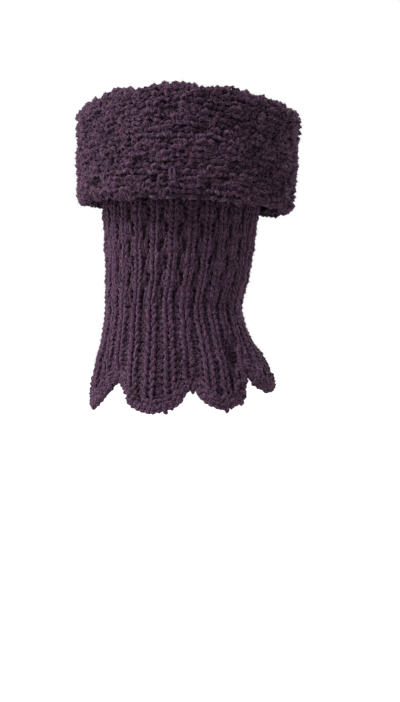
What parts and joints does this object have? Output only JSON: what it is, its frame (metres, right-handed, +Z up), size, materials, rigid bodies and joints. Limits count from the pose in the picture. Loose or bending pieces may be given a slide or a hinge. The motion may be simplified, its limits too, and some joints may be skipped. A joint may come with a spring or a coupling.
{
  "type": "knitted boot cuff",
  "caption": "Knitted boot cuff in its worn shape: a ribbed tube with a scalloped hem below and a deep folded turnover above, open at both ends for the leg.",
  "frame": {"origin": "middle of the leg opening at its narrowest ring, just above the ankle, where the leg holds the cuff", "axes": "+Z up the leg, +X from the shin towards the calf, -Y the leg's outer side"},
  "size_m": [0.1423, 0.135, 0.1969],
  "materials": {
    "edging_yarn": "dark plum heather wool yarn in a knobbly picot edging, matt with a soft fuzz",
    "rib_yarn": "the same dark plum heather yarn in knit one, purl one ribbing",
    "pattern_yarn": "the same dark plum heather yarn in ribs with fanned stitches between them",
    "basket_yarn": "the same dark plum heather yarn in a chunky basket stitch"
  },
  "bodies": {
    "root": {"scallop_edging": "edging_yarn", "ribbed_ankle": "rib_yarn", "patterned_leg": "pattern_yarn", "turnover_fold": "basket_yarn", "turnover_wall": "basket_yarn"}
  },
  "joints": []
}
